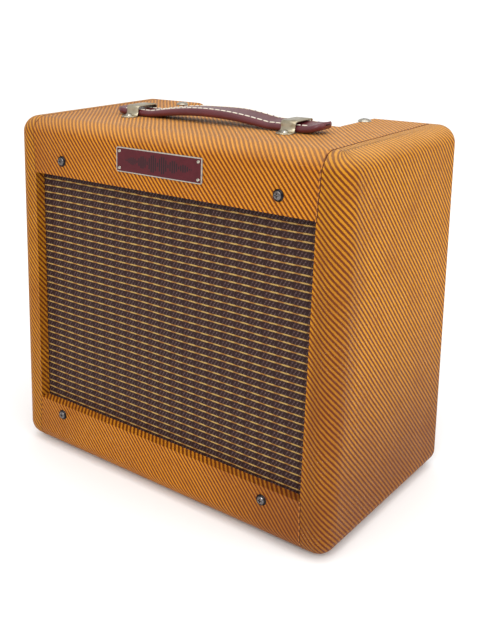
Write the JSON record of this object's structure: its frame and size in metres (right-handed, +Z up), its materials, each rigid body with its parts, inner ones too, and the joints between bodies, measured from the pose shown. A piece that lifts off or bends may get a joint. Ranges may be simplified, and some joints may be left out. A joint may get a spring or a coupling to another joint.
{
  "type": "guitar amplifier",
  "caption": "Small tweed-covered valve combo amplifier for guitar, with a leaning grille front, leather strap handle, recessed top control panel and open back.",
  "frame": {"origin": "centre of the footprint, on the surface the glides stand on", "axes": "+X to the right seen from the front, the grille side faces -Y, +Z up"},
  "size_m": [0.343, 0.2044, 0.3304],
  "materials": {
    "tweed": "lacquered diagonal tweed",
    "pine": "planed pine",
    "plywood": "raw plywood",
    "grille": "woven grille cloth with gold stripes",
    "black_oxide": "black oxide",
    "nickel": "aged nickel plate",
    "plate": "enamel with a bright border",
    "brass": "bright brass",
    "leather": "burgundy strap leather",
    "chassis_steel": "chrome plated steel",
    "steel": "zinc plated",
    "fibre": "waxed fibre board",
    "capacitor": "wrapped film and card",
    "resistor": "moulded carbon",
    "bakelite": "moulded bakelite",
    "glass": "clear",
    "electrode": "carbonised nickel",
    "iron": "black enamelled laminations",
    "jewel": "faceted red",
    "frame_paint": "grey hammer paint",
    "paper": "pressed felted paper",
    "cork": "cork and rubber gasket",
    "coil": "lacquered former",
    "wire": "cloth covered wire",
    "rubber": "moulded rubber"
  },
  "bodies": {
    "cabinet": {"cabinet_top": "pine", "cabinet_bottom": "pine", "cabinet_left_side": "pine", "cabinet_right_side": "pine", "front_top_rail": "plywood", "front_bottom_rail": "plywood", "front_stiles": "plywood", "tweed_cover_center": "tweed", "tweed_cover_left": "tweed", "tweed_cover_right": "tweed", "baffle_board": "plywood", "grille_cloth": "grille", "baffle_screws": "black_oxide", "baffle_cup_washers": "black_oxide", "nameplate": "plate", "nameplate_pins": "nickel", "back_cleats": "pine", "upper_back_panel": "plywood", "lower_back_panel": "plywood", "back_panel_tweed": "tweed", "back_panel_screws": "nickel", "glides": "nickel", "handle_clips": "nickel", "handle_screws": "nickel", "chassis": "chassis_steel", "chassis_screws": "nickel", "chassis_fasteners": "steel", "cord_grommets": "rubber", "circuit_board": "fibre", "capacitors": "capacitor", "resistors": "resistor", "valve_sockets": "bakelite", "valve_bases": "bakelite", "valve_glass": "glass", "valve_electrodes": "electrode", "power_transformer": "iron", "output_transformer": "iron", "input_jack_1": "nickel", "input_jack_2": "nickel", "panel_nuts": "nickel", "volume_control": "steel", "pilot_lamp_holder": "nickel", "pilot_bulb": "glass", "pilot_jewel": "jewel", "fuse_holder": "bakelite", "speaker_frame": "frame_paint", "speaker_gasket": "cork", "speaker_magnet": "frame_paint", "speaker_screws": "steel", "speaker_terminals": "fibre", "cone_suspension": "paper", "speaker_lead": "wire"},
    "volume_knob": {"volume_knob": "bakelite", "volume_shaft": "brass"},
    "speaker_cone": {"speaker_cone": "paper", "dust_cap": "paper", "voice_coil": "coil"},
    "handle_strap": {"handle_strap": "leather"},
    "fuse_cap": {"fuse_cap": "bakelite", "fuse": "glass"}
  },
  "joints": [
    {"name": "volume_turn", "type": "hinge", "parent": "cabinet", "child": "volume_knob", "pos_m": [-0.016, 0.05538, 0.305], "axis": [0, 0, -1], "range_deg": [0, 300]},
    {"name": "cone_stroke", "type": "slide", "parent": "cabinet", "child": "speaker_cone", "axis": [0, -0.9992, 0.0412], "range_m": [-0.0015, 0.0015], "stiffness_N_per_m": 3400},
    {"name": "handle_slide", "type": "slide", "parent": "cabinet", "child": "handle_strap", "axis": [1, 0, 0], "range_m": [-0.009, 0.003]},
    {"name": "fuse_cap_turn", "type": "hinge", "parent": "cabinet", "child": "fuse_cap", "pos_m": [0.058, 0.05538, 0.305], "axis": [0, 0, 1], "range_deg": [0, 60]}
  ]
}
